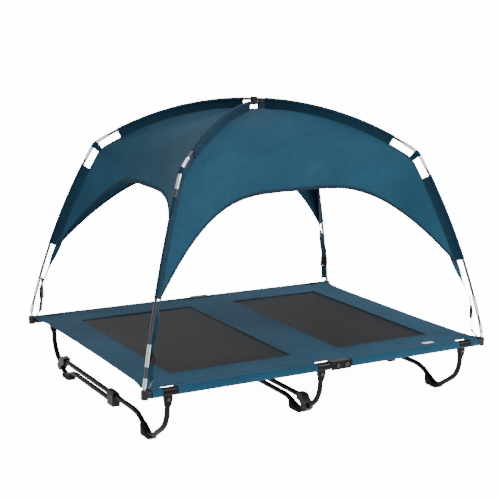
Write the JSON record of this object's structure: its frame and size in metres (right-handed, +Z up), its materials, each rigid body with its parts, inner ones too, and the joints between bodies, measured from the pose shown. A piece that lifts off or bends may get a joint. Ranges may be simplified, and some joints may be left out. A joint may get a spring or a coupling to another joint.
{
  "type": "raised dog bed with canopy",
  "caption": "Raised fabric dog bed on folding steel leg frames, hinged across the middle, with a lift-off dome canopy on crossed poles.",
  "frame": {"origin": "centre of the bed between the corner caps, on the floor under the feet", "axes": "+X along the rails, +Y to the back, +Z up"},
  "size_m": [1.22, 0.9448, 0.9533],
  "materials": {
    "black_steel_tube": "gloss black powder coat on steel tube",
    "black_plastic": "moulded black nylon",
    "black_fittings": "gloss black coated fittings",
    "rivet_steel": "bright steel rivets",
    "foot_rubber": "black rubber",
    "deck_fabric": "teal coated woven polyester",
    "deck_mesh": "charcoal PVC-coated open mesh",
    "canopy_fabric": "teal woven polyester",
    "webbing": "teal woven webbing",
    "wire_steel": "plated steel wire",
    "black_fibreglass": "pultruded black fibreglass",
    "bright_ferrule": "polished aluminium tube"
  },
  "bodies": {
    "left_half": {"front_rail_left": "black_steel_tube", "back_rail_left": "black_steel_tube", "corner_cap_front_left": "black_plastic", "corner_cap_back_left": "black_plastic", "deck_cloth_left": "deck_fabric", "deck_mesh_left": "deck_mesh", "hinge_bracket_front": "black_fittings", "hinge_bracket_back": "black_fittings", "hinge_pins": "rivet_steel", "leg_bracket_left_front": "black_fittings", "leg_bracket_left_back": "black_fittings", "leg_bracket_middle_front": "black_fittings", "leg_bracket_middle_back": "black_fittings", "leg_rivets_left": "rivet_steel", "anchor_straps_left": "webbing", "anchor_rings_left": "wire_steel", "buckle_sockets_left": "black_plastic"},
    "right_half": {"front_rail_right": "black_steel_tube", "back_rail_right": "black_steel_tube", "corner_cap_front_right": "black_plastic", "corner_cap_back_right": "black_plastic", "deck_cloth_right": "deck_fabric", "deck_mesh_right": "deck_mesh", "leg_bracket_right_front": "black_fittings", "leg_bracket_right_back": "black_fittings", "leg_rivets_right": "rivet_steel", "anchor_straps_right": "webbing", "anchor_rings_right": "wire_steel", "buckle_sockets_right": "black_plastic"},
    "left_legs": {"left_leg_upper": "black_steel_tube", "left_leg_lower": "black_steel_tube", "left_leg_hub": "black_fittings", "left_leg_clip": "black_fittings", "left_leg_feet": "foot_rubber"},
    "middle_legs": {"middle_leg_upper": "black_steel_tube", "middle_leg_lower": "black_steel_tube", "middle_leg_hub": "black_fittings", "middle_leg_clip": "black_fittings", "middle_leg_feet": "foot_rubber"},
    "right_legs": {"right_leg_upper": "black_steel_tube", "right_leg_lower": "black_steel_tube", "right_leg_hub": "black_fittings", "right_leg_clip": "black_fittings", "right_leg_feet": "foot_rubber"},
    "canopy": {"lower_rod_front_left": "black_fibreglass", "lower_rod_front_right": "black_fibreglass", "lower_rod_back_left": "black_fibreglass", "lower_rod_back_right": "black_fibreglass", "upper_rod_over": "black_fibreglass", "upper_rod_under": "black_fibreglass", "elbows": "bright_ferrule", "ferrules": "bright_ferrule", "roof_front": "canopy_fabric", "roof_back": "canopy_fabric", "roof_left": "canopy_fabric", "roof_right": "canopy_fabric", "pole_sleeves": "canopy_fabric", "apex_tie": "black_plastic", "canopy_straps": "webbing", "buckle_plugs": "black_plastic"}
  },
  "joints": [
    {"name": "frame_fold", "type": "hinge", "parent": "left_half", "child": "right_half", "pos_m": [0.0655, 0, 0.18], "axis": [0, 1, 0], "range_deg": [0, 90]},
    {"name": "left_legs_fold", "type": "hinge", "parent": "left_half", "child": "left_legs", "pos_m": [-0.524, 0, 0.155], "axis": [0, -1, 0], "range_deg": [0, 90]},
    {"name": "middle_legs_fold", "type": "hinge", "parent": "left_half", "child": "middle_legs", "pos_m": [-0.0125, 0, 0.155], "axis": [0, 1, 0], "range_deg": [0, 90]},
    {"name": "right_legs_fold", "type": "hinge", "parent": "right_half", "child": "right_legs", "pos_m": [0.524, 0, 0.155], "axis": [0, 1, 0], "range_deg": [0, 90]},
    {"name": "canopy_lift", "type": "slide", "parent": "left_half", "child": "canopy", "axis": [0, 0, 1], "range_m": [0, 0.25]}
  ]
}
